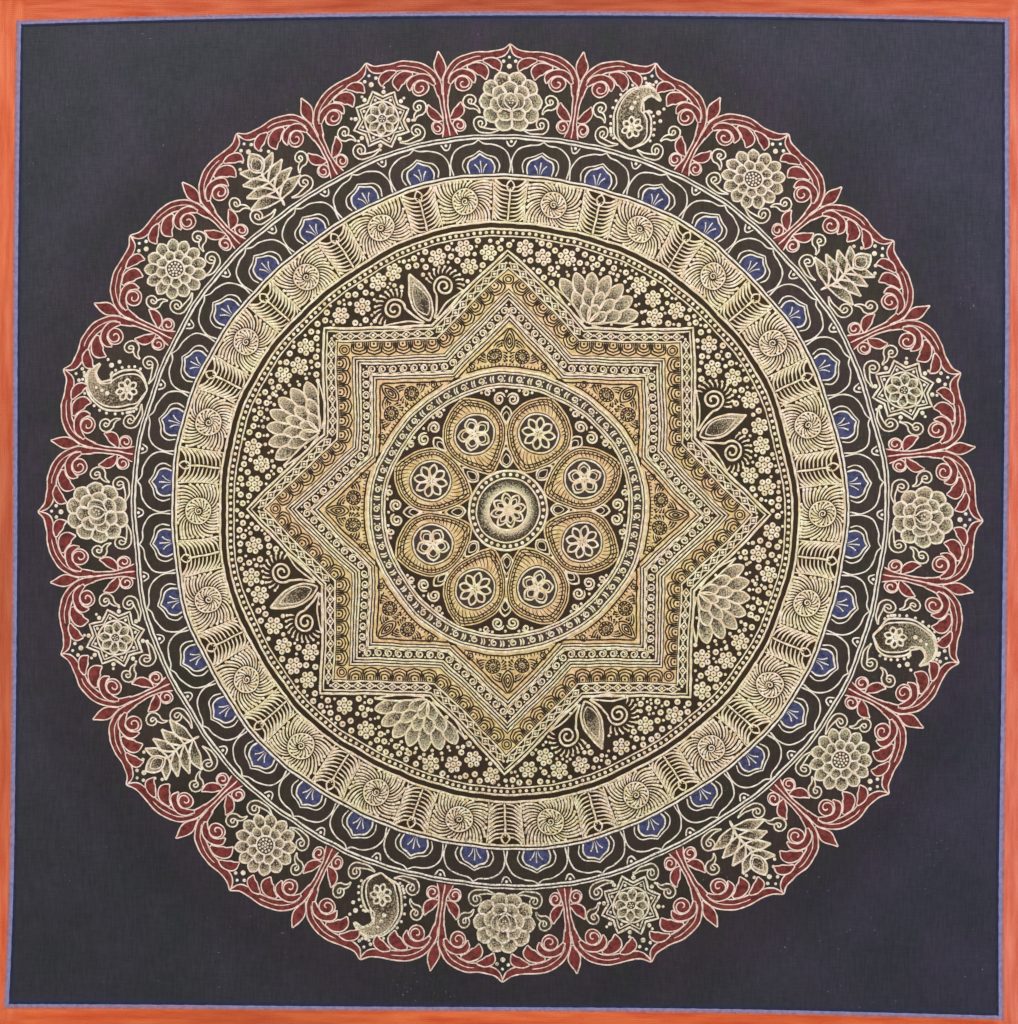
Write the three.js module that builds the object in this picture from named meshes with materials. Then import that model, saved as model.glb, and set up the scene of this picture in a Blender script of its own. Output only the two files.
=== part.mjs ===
// An unmounted thangka painting: one square of sized and painted cotton canvas that hangs from its top edge.
// Units are millimetres, +Z is up, and the painted face looks along -Y.
// The origin is the middle of the top edge, on the plane of the canvas's back.
import * as THREE from "three";

// Driving sizes
const canvasWidth = 300; // cut edge to cut edge
const canvasHeight = 300;
const canvasThickness = 1; // cotton, size and paint together
const borderWidth = 15; // painted margin outside the ruled line, held straight along the top

// How far the cut edges leave a true square, in the plane of the cloth
const edgeBows = {
  topRise: 2.2, // the middle of the top edge stands above its corners
  bottomRise: 0.8, // the same along the bottom edge
  rightBulge: 1.0, // the right edge swells outwards at mid height
  leftWave: 0.8, // the left edge swings out above mid height and in below it
};

// The cloth is stiff but not flat. Each row is one soft swell towards the viewer.
// across and down place its middle as shares of the width and height, reach is its half-width, depth its height.
const swells = [
  { across: 0.46, down: 0.5, reach: 105, depth: 2.6 },
  { across: 0.86, down: 0.3, reach: 62, depth: 1.3 },
  { across: 0.12, down: 0.72, reach: 58, depth: 1.9 },
  { across: 0.7, down: 0.86, reach: 48, depth: -1.5 },
  { across: 0.34, down: 0.93, reach: 44, depth: 1.1 },
];

// The bottom edge keeps a curl from being rolled up, and the two lower corners lift a little more.
const rollCurl = { startsAt: 0.78, depth: 3.2, cornerLift: 1.6 };

// The swells fade out towards the straight top border.
const fade = { startsAt: borderWidth / canvasHeight, endsAt: 0.36 };

// One row of cells is the top border, and the cells are square.
const cellSize = borderWidth;
const cellsAcross = Math.round(canvasWidth / cellSize);
const cellsDown = Math.round(canvasHeight / cellSize);

// How far the cloth's back stands off the plane of its top border, for shares of the width and height.
function standOff(across, down) {
  const loose = THREE.MathUtils.smoothstep(down, fade.startsAt, fade.endsAt);
  let depth = 0;
  for (const swell of swells) {
    const dx = (across - swell.across) * canvasWidth;
    const dz = (down - swell.down) * canvasHeight;
    depth += swell.depth * Math.exp(-(dx ** 2 + dz ** 2) / swell.reach ** 2);
  }
  const curl = Math.max(0, (down - rollCurl.startsAt) / (1 - rollCurl.startsAt));
  const side = 2 * across - 1;
  return loose * depth + curl ** 2 * (rollCurl.depth + rollCurl.cornerLift * side ** 4);
}

// The point of the hanging cloth for shares of the width and height, on the back (0) or the painted face (1).
function clothPoint(across, down, face) {
  const side = 2 * across - 1;
  const sway =
    side > 0
      ? edgeBows.rightBulge * Math.sin(Math.PI * down)
      : -edgeBows.leftWave * Math.sin(2 * Math.PI * down);
  const rise = THREE.MathUtils.lerp(edgeBows.topRise, edgeBows.bottomRise, down);
  return new THREE.Vector3(
    (side * canvasWidth) / 2 + sway * side ** 2,
    -standOff(across, down) - face * canvasThickness,
    -down * canvasHeight - rise * side ** 2,
  );
}

// A box of cells is the flat cut, and each of its corners then moves to where the cloth hangs.
function hangingCanvas() {
  const cut = new THREE.BoxGeometry(
    canvasWidth,
    canvasThickness,
    canvasHeight,
    cellsAcross,
    1,
    cellsDown,
  );
  const corners = cut.getAttribute("position");
  const flat = new THREE.Vector3();
  for (let i = 0; i < corners.count; i++) {
    flat.fromBufferAttribute(corners, i);
    const across = flat.x / canvasWidth + 0.5;
    const down = 0.5 - flat.z / canvasHeight;
    const face = flat.y < 0 ? 1 : 0;
    const hung = clothPoint(across, down, face);
    corners.setXYZ(i, hung.x, hung.y, hung.z);
  }
  cut.computeVertexNormals();
  return cut;
}

const paintedCloth = new THREE.MeshStandardMaterial({ color: "#3c3b42", roughness: 0.85, metalness: 0 });

const canvas = new THREE.Mesh(hangingCanvas(), paintedCloth);
canvas.name = "painted_canvas";

const thangka = new THREE.Group();
thangka.add(canvas);

export default thangka;
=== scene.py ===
# An unmounted thangka: a square of painted cotton canvas, hung from its top edge.
# The drawing is worked out flat, as complex numbers in mm from the canvas's middle, x to the right and y up.
from collections import defaultdict
from functools import partial
from math import cos, pi, radians, sqrt, tan
import bmesh
import bpy
import numpy as np
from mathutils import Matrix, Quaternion, Vector


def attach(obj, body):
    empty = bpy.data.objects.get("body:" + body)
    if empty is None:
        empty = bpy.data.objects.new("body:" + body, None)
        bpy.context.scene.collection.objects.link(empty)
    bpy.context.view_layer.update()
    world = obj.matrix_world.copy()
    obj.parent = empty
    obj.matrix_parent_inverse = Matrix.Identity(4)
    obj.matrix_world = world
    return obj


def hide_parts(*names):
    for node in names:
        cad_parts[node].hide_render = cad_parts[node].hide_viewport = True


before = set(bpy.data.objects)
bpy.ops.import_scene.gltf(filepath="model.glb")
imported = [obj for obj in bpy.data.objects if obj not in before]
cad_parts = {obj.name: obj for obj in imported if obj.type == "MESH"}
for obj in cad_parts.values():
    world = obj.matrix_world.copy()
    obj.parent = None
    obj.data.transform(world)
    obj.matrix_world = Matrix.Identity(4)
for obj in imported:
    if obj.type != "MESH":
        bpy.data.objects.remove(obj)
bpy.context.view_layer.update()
mm = 0.001
rng = np.random.default_rng(11)

# The hanging cloth, the same surface as the solid's
canvas = {
    "side": 300,  # cut edge to cut edge, both ways
    "thickness": 1,
    "border": 15,  # painted margin outside the ruled line
    "topRise": 2.2,  # the middle of the top edge stands above its corners
    "bottomRise": 0.8,
    "rightBulge": 1.0,
    "leftWave": 0.8,
    "swells": [  # across, down, half-width, height towards the viewer
        (0.46, 0.5, 105, 2.6),
        (0.86, 0.3, 62, 1.3),
        (0.12, 0.72, 58, 1.9),
        (0.7, 0.86, 48, -1.5),
        (0.34, 0.93, 44, 1.1),
    ],
    "curlStart": 0.78,  # the bottom edge keeps a curl from being rolled up
    "curlDepth": 3.2,
    "cornerLift": 1.6,
    "fadeEnd": 0.36,  # the swells fade out towards the straight top border
    "cells": 100,
}
halfSide = canvas["side"] / 2
halfGround = halfSide - canvas["border"]  # the dark ground, inside the border


def smoothStep(value, low, high):
    share = np.clip((value - low) / (high - low), 0, 1)
    return share**2 * (3 - 2 * share)


def standOff(across, down):
    side = canvas["side"]
    depth = np.zeros_like(across)
    for swellAcross, swellDown, reach, height in canvas["swells"]:
        dx = (across - swellAcross) * side
        dz = (down - swellDown) * side
        depth += height * np.exp(-(dx**2 + dz**2) / reach**2)
    loose = smoothStep(down, canvas["border"] / side, canvas["fadeEnd"])
    curl = np.maximum(0, (down - canvas["curlStart"]) / (1 - canvas["curlStart"]))
    return loose * depth + curl**2 * (canvas["curlDepth"] + canvas["cornerLift"] * (2 * across - 1) ** 4)


def hang(flat, lift):  # flat points to metres on the painted face, lifted off it by so many millimetres
    across = flat.real / canvas["side"] + 0.5
    down = 0.5 - flat.imag / canvas["side"]
    side = 2 * across - 1
    bulge = canvas["rightBulge"] * np.sin(pi * down)
    wave = -canvas["leftWave"] * np.sin(2 * pi * down)
    rise = canvas["topRise"] + (canvas["bottomRise"] - canvas["topRise"]) * down
    x = flat.real + np.where(side > 0, bulge, wave) * side**2
    y = -standOff(across, down) - canvas["thickness"] - lift
    z = -down * canvas["side"] - rise * side**2
    return np.stack([x, y, z], axis=-1) * mm


# The ruled square is a little out of true
outOfTrue = {
    "corners": [(-1, 1, 0.57), (1, 1, -0.35 + 0.7j), (1, -1, -0.8 - 0.2j), (-1, -1, -0.35 - 0.57j)],
    "sideBows": (0.2, -0.35),  # of both upright sides to the right, and of the two apart
    "topBow": -0.22,
}


def ruledSquare(flat):
    across, up = np.clip(flat.real / halfGround, -1, 1), np.clip(flat.imag / halfGround, -1, 1)
    shift = sum(push * (1 + sx * across) * (1 + sy * up) / 4 for sx, sy, push in outOfTrue["corners"])
    together, apart = outOfTrue["sideBows"]
    shift = shift + (together + apart * across) * (1 - up**2)
    shift = shift + 1j * outOfTrue["topBow"] * across**2 * (1 + up)
    reach = np.maximum(np.abs(flat.real), np.abs(flat.imag))
    return flat + shift * np.clip((halfSide - reach) / canvas["border"], 0, 1)


# Paths: smooth lines through a few points
finest = 0.06  # mm, the least width of a leaf or a line


def through(values, stops, at):
    values = np.asarray(values)
    if len(values) > 2:
        slopes = np.gradient(values, stops)
    else:
        slopes = np.full(2, (values[1] - values[0]) / (stops[1] - stops[0]))
    k = np.clip(np.searchsorted(stops, at, side="right") - 1, 0, len(stops) - 2)
    span = stops[k + 1] - stops[k]
    t = (at - stops[k]) / span
    rising = t**2 * (3 - 2 * t)
    lean = t * (1 - t) * span
    chord = (1 - rising) * values[k] + rising * values[k + 1]
    return chord + lean * ((1 - t) * slopes[k] - t * slopes[k + 1])


def curve(points, widths=None, step=0.6):
    knots = np.array(points, dtype=complex)
    stops = np.concatenate([[0], np.cumsum(np.abs(np.diff(knots)))])
    at = np.linspace(0, stops[-1], max(3, int(stops[-1] / step) + 2))
    path = through(knots, stops, at)
    if widths is None:
        return path
    return path, np.maximum(finest, through(np.array(widths, dtype=float), stops, at))


def turns(count, start=0.0):  # headings all round, as unit complex numbers
    angles = 2 * pi * (np.arange(count) + start) / count
    return np.exp(1j * angles)


def circle(radius, step=1.0, count=None):
    return radius * turns(count or max(10, int(2 * pi * radius / step)))


def spiral(centre, startRadius, endRadius, startAngle, turning, step=0.5):
    length = pi * abs(turning) * (startRadius + endRadius)
    share = np.linspace(0, 1, max(6, int(length / step)))
    radius = startRadius + (endRadius - startRadius) * share
    return centre + radius * np.exp(1j * (startAngle + 2 * pi * turning * share))


def petalRails(base, tip, width, bulge=1.0, sharp=0.8, step=0.6):  # bulge over 1 is widest nearer the tip
    length = abs(tip - base)
    share = np.linspace(0, 1, max(7, int(length / step) + 3))
    half = 0.5 * width * np.sin(pi * np.clip(share, 0.004, 0.996) ** bulge) ** sharp
    axis = (tip - base) / length
    middle = base + (tip - base) * share
    return middle + 1j * axis * half, middle - 1j * axis * half


def railsOf(path, width, closed=False):
    heading = np.roll(path, -1) - np.roll(path, 1) if closed else np.gradient(path)
    normal = 1j * heading / np.maximum(np.abs(heading), 1e-9)
    return path + normal * width / 2, path - normal * width / 2


def outlineOf(left, right):  # up one rail and down the other
    return np.concatenate([left, right[::-1]])


def alongSides(corners, count):  # so many points on each side of a polygon
    sides = np.roll(corners, -1) - corners
    return (corners[:, None] + sides[:, None] * (np.arange(count) / count)).ravel()


def mirrored(path):
    return -np.conj(path)


def withMirror(half):  # half an outline and its mirror image in one line
    return np.concatenate([half, mirrored(half)[::-1][1:]])


# Places: each gives a function from a motif's own millimetres to the drawing
def onRing(inner, middle, angle):  # x clockwise along the ring of radius middle, y outwards from radius inner
    return lambda z: (inner + np.imag(z)) * np.exp(1j * (angle - np.real(z) / middle))


def onSpot(centre, angle=0.0, size=1.0):  # y points along the angle
    turn = size * np.exp(1j * (angle - pi / 2))
    return lambda z: centre + turn * np.asarray(z)


def hands(put):  # a place, and the same place for the mirror image
    return put, lambda z: put(mirrored(z))


# Paint: every piece is gathered as ribbons and dots, and made into one mesh later
paintPots = defaultdict(lambda: {"ribbons": [], "dots": []})
coat = {
    "step": 0.05,  # mm between one coat of paint and the next over it
    "clear": 0.012,  # the first coat lies so far off the cloth
    "fill": 0.02,  # how high a filled shape is
    "line": 0.08,  # and a line
    "shake": [(0.11, 2.1, 1.3, 0), (0.09, 1.1, -2.7, 1)],  # share of the width, waves over x and y, phase
}


def ribbon(paint, left, right, layer=0, thick=coat["fill"], closed=False, gilding=None):
    left, right = np.asarray(left), np.asarray(right)
    gilding = np.ones((3, len(left))) if gilding is None else gilding
    along = np.roll(right, -1) - right
    turned = np.sum(np.imag(np.conj(along[:-1]) * (left - right)[:-1]))
    if turned < 0:
        left, right, gilding = right, left, gilding[::-1]
    paintPots[paint]["ribbons"].append((left, right, layer, thick, closed, gilding))


def stroke(paint, path, width, layer=0, closed=False):
    path = np.asarray(path)
    shake = sum(size * np.sin(x * path.real + y * path.imag + phase) for size, x, y, phase in coat["shake"])
    width = width * np.ones(len(path)) * (1 + shake)
    if not closed:
        width[[0, -1]] *= 0.5  # the brush comes down and lifts off
    ribbon(paint, *railsOf(path, width, closed), layer, coat["line"], closed)


def loop(paint, path, width, layer=0):
    stroke(paint, path, width, layer, closed=True)


def dots(paint, centres, size, layer=0):
    centres = np.atleast_1d(np.asarray(centres, dtype=complex))
    paintPots[paint]["dots"].append((centres, size * np.ones(len(centres)), layer))


# Small ornaments, each drawn through a place
blackGround, stippledGold = "black_grounds", "gold_stipple"
stipple = {"foot": 0.02, "tip": 0.64, "crowding": 1.2, "rim": 0.08}  # how thick the dots stand


def fillIn(paint, put, left, right, layer=0):
    gilding = None
    if paint == stippledGold:  # dots crowd at the tip and the rim, and thin out to the dark at the foot
        body = stipple["foot"] + stipple["tip"] * np.linspace(0, 1, len(left)) ** stipple["crowding"]
        rim = body + stipple["rim"]
        gilding = np.stack([rim, body, rim])
    ribbon(paint, put(left), put(right), layer, gilding=gilding)


def leaf(put, spine, widths, fill, line, lineWidth=0.5, layer=0, step=0.7):
    rails = railsOf(*curve(spine, widths, step))
    if fill:
        fillIn(fill, put, *rails, layer)
    loop(line, put(outlineOf(*rails)), lineWidth, layer + 1)


def bothHands(paint, put, path, width, layer=0):  # a stroke and its mirror image
    for hand in hands(put):
        stroke(paint, hand(path), width, layer)


def comma(paint, put, path, width, layer=0):  # a fine tail that swells to a round head
    placed = put(path)
    stroke(paint, placed, np.linspace(0.35, 1, len(placed)) * width, layer)
    dots(paint, placed[-1], width * 0.6, layer)


def petal(put, base, tip, width, line, lineWidth=0.45, bulge=1.0, sharp=0.8, layer=0, ground=None, inner=0.0):
    rails = petalRails(base, tip, width, bulge, sharp)
    if ground:
        fillIn(ground, put, *rails, layer)
        layer = layer + 1
    loop(line, put(outlineOf(*rails)), lineWidth, layer)
    if inner:  # a second line inside the first
        start, end = base + (tip - base) * 0.12, base + (tip - base) * (1 - inner)
        rails = petalRails(start, end, width * (1 - 1.3 * inner), bulge, sharp)
        loop(line, put(outlineOf(*rails)), lineWidth * 0.6, layer)


def petals(put, headings, foot, tip, width, *pen):
    for heading in headings:
        petal(put, foot * heading, tip * heading, width, *pen)


def rosette(paint, put, count, foot, tip, width, layer=0, inner=0.0):
    petals(put, turns(count, 0.25), foot, tip, width, paint, 0.5, 1.25, 0.75, layer, None, inner)


def pearlFlower(paint, pupil, centre, size, turn, layer=0):  # seven pearls, each with a dark eye
    turn = np.exp(1j * turn)
    pearls = np.append(0, turns(6) * turn) * size * 0.68 + centre
    dots(paint, pearls, size * 0.325, layer)
    dots(pupil, pearls + size * 0.04 * turn, size * 0.09, layer + 2)


def tube(paint, put, path, widths, layer=0):  # a tendril as two lines with the dark between them
    stops = np.linspace(0, 1, len(widths))
    wide = np.interp(np.linspace(0, 1, len(path)), stops, widths)
    ribbon(paint, *(put(rail) for rail in railsOf(path, wide)), layer, 0.03)
    hollow = railsOf(path, np.maximum(wide - 0.84, 0.05))
    ribbon(blackGround, *(put(rail[1:-1]) for rail in hollow), layer + 1)


def feathers(paint, put, centre, radius, inside, count, sense, width, layer=0, furthest=9.0):
    # curved strokes all round a circle, each as long as the outline lets it be
    reach = np.arange(radius + 0.4, furthest, 0.2)
    for k in range(count):
        angle = 2 * pi * (k + rng.uniform(-0.1, 0.1)) / count
        bend = sense * 0.42 * ((reach - radius) / radius) ** 1.2
        path = centre + reach * np.exp(1j * (angle + bend))
        out = np.flatnonzero(~inside(path))
        length = out[0] if len(out) else len(path)
        if length < 4:
            continue
        feather = path[np.linspace(0, length - 1, max(3, int(length * 0.4))).astype(int)]
        stroke(paint, put(feather), width * np.linspace(0.42, 1.12, len(feather)), layer)
        dots(paint, put(feather[-1]), width * 0.68, layer)


def whorl(paint, put, centre, radius, spokes, sense, line=0.42, layer=0):  # a wheel of bent commas
    place = lambda z: put(centre + z)
    loop(paint, place(circle(radius, step=0.6)), line, layer)
    share = np.linspace(0, 1, 4)
    core = 0.37 * radius
    bent = (core + (radius - core - 0.45) * share) * np.exp(0.55j * sense * share)
    for turn in turns(spokes):
        spoke = bent * turn
        stroke(paint, place(spoke), line * np.linspace(0.8, 1.7, 4), layer)
        dots(paint, place(spoke[-1]), line * 0.9, layer)
    stroke(paint, place(spiral(0, 0.33 * radius, 0.2, 0, 1.4 * sense)), line * 0.85, layer)


def disc(paint, put, radius, layer):
    count = max(16, int(2 * pi * radius / 0.9))
    ribbon(paint, put(circle(radius, count=count)), put(circle(0.05, count=count)), layer, closed=True)


def ringLines(paint, lines, layer=0):
    for radius, width in lines:
        loop(paint, circle(radius, step=1.2), width, layer)


# The ruled line between the dark ground and the border, as bands from its outer edge inwards
ruledLine = {
    "edge": 135.5,
    "step": 1.5,
    "bands": {  # on the level sides, and on the upright ones
        "ruled_line_mauve": [(0.3, 1.25), (0.1, 1.0)],
        "ruled_line_blue": [(0.95, 1.65), (0.7, 1.65)],
        "ruled_line_navy": [(1.55, 2.2), (1.55, 2.2)],
    },
}


def drawRuledLine():
    for layer, (paint, sides) in enumerate(ruledLine["bands"].items()):
        for quarter in range(4):
            outer, inner = sides[quarter % 2]
            reach = ruledLine["edge"] - outer
            middle = ruledLine["edge"] - (outer + inner) / 2
            along = np.linspace(-reach, reach, int(2 * reach / ruledLine["step"]))
            stroke(paint, (along + 1j * middle) * 1j**quarter, inner - outer, layer)


# The outer arcade: red leaf arches on stems
arcade = {
    "count": 20,
    "inner": 102.8,
    "middle": 115.0,
    "stem": [2.3, 1.2 + 3.2j, 0.95 + 7.6j, 1.3 + 11.6j],  # half the stem, foot to top
    "arm": [0.75 + 11j, 1.6 + 15.6j, 4.4 + 19.3j, 8.8 + 21.2j, 13.2 + 21.5j, 16.5 + 22.5j, 18.05 + 24.6j],
    "armWidths": [1.2, 2.3, 2.8, 2.6, 2.2, 1.7, 0.3],
    "leaves": [  # spine and widths, on each side of a stem
        ([1 + 4.7j, 2.5 + 5.5j, 3.9 + 7j, 4.5 + 9.2j], [0.5, 2.2, 2.6, 0.25]),
        ([2 + 14.6j, 3.6 + 16.6j, 6.2 + 17.2j, 8.2 + 15.9j, 8.5 + 14.2j], [0.8, 1.9, 2.0, 1.8, 0.3]),
        ([7.2 + 18.7j, 9.4 + 18.4j, 11.2 + 17j, 11.6 + 14.9j], [0.8, 2.7, 3.1, 0.3]),
        ([11.4 + 20.1j, 13.3 + 19.8j, 14.9 + 18.8j, 15.6 + 17.2j], [0.7, 2.3, 2.5, 0.3]),
    ],
    "volutes": [(3.2 + 2.7j, 1.75), (5.7 + 14.3j, 2.15)],  # middle and radius
    "bud": ([15.6j, 19.2j, 23.4j], [0.4, 3.0, 0.2]),
    "line": 0.36,
    "rib": 0.26,
}
red, rose = "crimson_leaves", "rose_outlines"


def drawArcadeLeaf(put, spine, widths, layer):
    leaf(put, spine, widths, red, rose, arcade["line"], layer, 0.36)


def drawVolute(put, centre, radius, layer):
    place = lambda z: put(centre + z)
    disc(red, place, radius, layer)
    loop(rose, place(circle(radius, step=0.5)), arcade["line"], layer + 1)
    stroke(rose, place(spiral(0, radius, 0.35, 0.75 * pi, -1.15)), arcade["line"], layer + 1)


def drawArcade():
    stem = curve(arcade["stem"])
    rib = curve(arcade["arm"])
    rib = rib[len(rib) // 5 : -len(rib) // 3]
    for k in range(arcade["count"]):
        angle = 2 * pi * (k + 0.5) / arcade["count"] + pi / 2
        put = onRing(arcade["inner"], arcade["middle"], angle)
        for hand in hands(put):
            drawArcadeLeaf(hand, arcade["arm"], arcade["armWidths"], 0)
            for spine, widths in arcade["leaves"]:
                drawArcadeLeaf(hand, spine, widths, 3)
            for centre, radius in arcade["volutes"]:
                drawVolute(hand, centre, radius, 5)
        bothHands(rose, put, rib, arcade["rib"], 1)
        ribbon(red, put(mirrored(stem)), put(stem), 6)
        bothHands(rose, put, stem, arcade["line"], 7)
        stroke(rose, put(curve([0j, 12.6j])), arcade["line"], 7)
        drawArcadeLeaf(put, *arcade["bud"], 3)


# What fills the bays: ordinary flowers, a star, a paisley and a sprig, in turn
bays = {
    "height": 8.8,  # middle of a motif above the arcade's foot
    "tendrils": [  # tail, then coil
        ([3 + 1.3j, 5.4 + 0.7j, 8.3 + 1j], (8.6 + 2.9j, 1.9, 0.6, -0.55 * pi, 1.05)),
        ([8.8 + 5.7j, 9.4 + 7j, 10.4 + 7.7j], (10.95 + 9.3j, 1.7, 0.55, -0.6 * pi, 1.05)),
    ],
    "tendrilWidths": [0.5, 1.5, 1.9, 1.7, 1.5, 1.3],
}
bayGold = "gold_bay_motifs"


def drawPeony(put):
    petals(put, -1j * turns(10, 0.5), 3.4, 8.2, 4.3, bayGold, 0.5, 1.5, 0.55, 2, stippledGold)
    petals(put, 1j * turns(7), 1.4, 5.5, 3.9, bayGold, 0.48, 1.4, 0.55, 5, stippledGold)
    petal(put, -2.6j, 2.3j, 4.2, bayGold, 0.46, 0.8, 0.55, 8, stippledGold)
    bud = [0.3 - 2.2j, 2.2 - 1j, 2.5 + 1j, 1 + 2.2j]
    for hand in hands(put):
        leaf(hand, bud, [0.3, 1.7, 1.7, 0.25], stippledGold, bayGold, 0.4, 10, 0.5)
    dots(bayGold, put([0.9j, 0.62 + 0.3j, -0.62 + 0.3j, 0.35 - 0.4j, -0.35 - 0.4j]), 0.27, 10)


def drawStarFlower(put):
    outline = alongSides(turns(16) * np.where(np.arange(16) % 2, 6.0, 8.1), 4)
    loop(bayGold, put(outline), 0.55)
    loop(bayGold, put(outline * 0.84), 0.36)
    for turn in turns(8):
        dots(bayGold, put(5.6 * turn), 0.42)
        dots(bayGold, put(turn * np.exp(1j * pi / 8) * np.array([7.3, 8.5])), [0.6, 0.4])
    disc(blackGround, put, 4.7, 2)
    loop(bayGold, put(circle(4.7, step=0.7)), 0.5, 3)
    petals(put, turns(8, 0.5), 1.1, 4.35, 2.4, bayGold, 0.4, 1.3, 0.7, 3, stippledGold)
    disc(blackGround, put, 1.3, 6)
    loop(bayGold, put(circle(1.25, count=16)), 0.36, 7)
    dots(bayGold, put(np.append(circle(0.6, count=5), 0)), 0.22, 7)


def drawPaisley(put):
    spine = [0.9 - 7.6j, 0.6 - 5.6j, -0.4 - 2.4j, -2.8 + 2j, -2.2 + 6.2j, 1.4 + 8.2j, 4.2 + 6.8j]
    wide = np.array([0.6, 8.0, 10.4, 8.2, 4.9, 2.2, 0.3])
    leaf(put, spine, wide, None, bayGold, 0.55, step=0.4)
    leaf(put, spine, wide * 0.78, stippledGold, bayGold, 0.42, step=0.4)
    path, around = curve(spine, wide, 1.2)
    left, right = railsOf(path, around + 1.7)
    dots(bayGold, put(np.concatenate([left[2:-3], right[2 : len(right) // 2]])), 0.42)
    eye = lambda z: put(-0.5 - 2.2j + z)
    rosette(bayGold, eye, 7, 0.7, 2.9, 1.5, 2)
    dots(bayGold, eye(0), 0.5, 2)
    for k, size in enumerate((0.62, 0.52, 0.42)):
        dots(bayGold, put(-2.6 + 2.6j + k * (0.3 + 1.7j)), size, 2)
    dots(bayGold, put([4.9 + 3.6j, 6.2 + 1.7j, 6 + 5j]), [0.7, 0.55, 0.45])


def drawSprig(put):
    stroke(bayGold, put(curve([-8j, 0.5 - 3j, -0.3 + 2j, 3.4j])), 0.7)
    for k in range(4):
        foot = 1j * (-6.0 + 2.7 * k)
        reach = 8.0 - 1.0 * k
        spine = [foot, foot + 0.45 * reach + 1.7j, foot + reach + 2.2j + 0.5j * k]
        for hand in hands(put):
            leaf(hand, spine, [0.3, 3.0 - 0.2 * k, 0.2], stippledGold, bayGold, 0.48)
            comma(bayGold, hand, curve([foot + 0.2j, foot + 0.42 * reach + 3.4j]), 0.6)
    petal(put, 2.8j, 8.8j, 4.2, bayGold, 0.5, 0.9, 0.8, 2, stippledGold, 0.24)
    dots(bayGold, put([2.9 + 8j, -2.9 + 8j, 4.4 + 6.6j, -4.4 + 6.6j]), 0.48)


def drawDaisy(put):
    petals(put, turns(13, 0.5), 3.4, 8.2, 3.05, bayGold, 0.45, 1.5, 0.6, 0, stippledGold)
    petals(put, turns(9, 0.5), 1.8, 5.2, 2.75, bayGold, 0.45, 1.5, 0.6, 3, stippledGold)
    disc(blackGround, put, 2.5, 6)
    loop(bayGold, put(circle(2.5, count=26)), 0.5, 7)
    dots(bayGold, put(np.concatenate([[0], circle(0.85, count=6), circle(1.65, count=11)])), 0.33, 7)


def drawBays():
    drawings = [drawPeony, drawStarFlower, drawSprig, drawDaisy, drawPaisley]
    for k in range(arcade["count"]):
        angle = 2 * pi * k / arcade["count"] + pi / 2
        put = onRing(arcade["inner"], arcade["middle"], angle)
        centre = put(1j * bays["height"])
        drawings[k % len(drawings)](onSpot(centre, angle + rng.normal(0, 0.03), rng.uniform(0.99, 1.04)))
        for tail, coil in bays["tendrils"]:
            tendril = np.concatenate([curve(tail), spiral(*coil)])
            for hand in hands(put):
                tube(bayGold, hand, tendril, bays["tendrilWidths"])
        dots(bayGold, put([18.7j, 1.5 + 20j, -1.5 + 20j, 21.2j]), [0.7, 0.5, 0.5, 0.42])


# A ring of blue lotus petals
petalRing = {"count": 36, "inner": 91.6, "outer": 101.3, "line": 0.38}
petalGold = "gold_petal_ring"


def drawPetalRing():
    inner, outer, count = petalRing["inner"], petalRing["outer"], petalRing["count"]
    middle = (inner + outer) / 2
    half = pi * middle / count
    side = [half - 0.5 + 0.2j, half - 0.2 + 3.4j, half - 1.5 + 6.4j, 3.6 + 8.2j, 1.1 + 8.6j, 9.4j]
    side = curve(side, step=0.4)
    blue = curve([3.4 + 0.25j, 3.8 + 2.1j, 3.0 + 3.9j, 1.3 + 4.7j, 5.6j], step=0.3)
    gap = curve([half - 1.3 + 9.2j, half - 0.2 + 7.6j, half + 0.2 + 7.6j, half + 1.3 + 9.2j], step=0.4)
    for k in range(count):
        put = onRing(inner, middle, 2 * pi * (k + 0.5) / count)
        stroke(petalGold, put(withMirror(side)), petalRing["line"])
        ribbon("blue_petals", put(mirrored(blue)), put(blue))
        for grow, width in ((1.0, 0.42), (1.36, 0.34)):
            edge = blue.real * grow + 1j * (blue.imag * (1 + 0.3 * (grow - 1)) + (grow - 1) * 0.5)
            stroke(petalGold, put(withMirror(edge)), width, 1)
        for lean in (-1, 0, 1):
            vein = [0.4 * lean + 0.3j, 0.9 * lean + 1.8j, 1.6 * lean + (3.5 - 0.8 * abs(lean)) * 1j]
            comma(petalGold, put, curve(vein), 0.38, 1)
        stroke(petalGold, put(gap), 0.4)
        dots(petalGold, put(half + 8.9j), 0.42)
    ringLines(petalGold, [(inner - 0.2, 0.5), (outer + 0.1, 0.5), (outer + 1.0, 0.36)])


# A broad gold ring of whorls and ferns in fine feather strokes
vineRing = {"pairs": 22, "inner": 78.4, "outer": 90.4, "whorlShare": 0.62, "feather": 0.63, "radius": 3.4}
vineGold = "gold_vine_ring"


def drawFern(paint, put, halfWidth, height):
    stroke(paint, put(curve([0.3j, (height - 2.6) * 1j])), 0.5)
    rails = petalRails((height - 3.6) * 1j, (height - 0.5) * 1j, 2.0, step=0.4)
    loop(paint, put(outlineOf(*rails)), 0.42)
    for k in range(-2, 9):
        foot = 0.35 + 1.15j * k + 0.4j
        feather = curve([foot, foot + halfWidth * 0.45 + 0.5j, foot + halfWidth - 0.75 + 2.1j], step=0.5)
        feather = feather[(feather.imag > 0.35) & (feather.imag < height - 0.6)]
        if len(feather) < 3:
            continue
        bothHands(paint, put, feather, 0.62 * np.linspace(0.45, 1.1, len(feather)))
        dots(paint, put([feather[-1], mirrored(feather[-1])]), 0.42)


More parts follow.
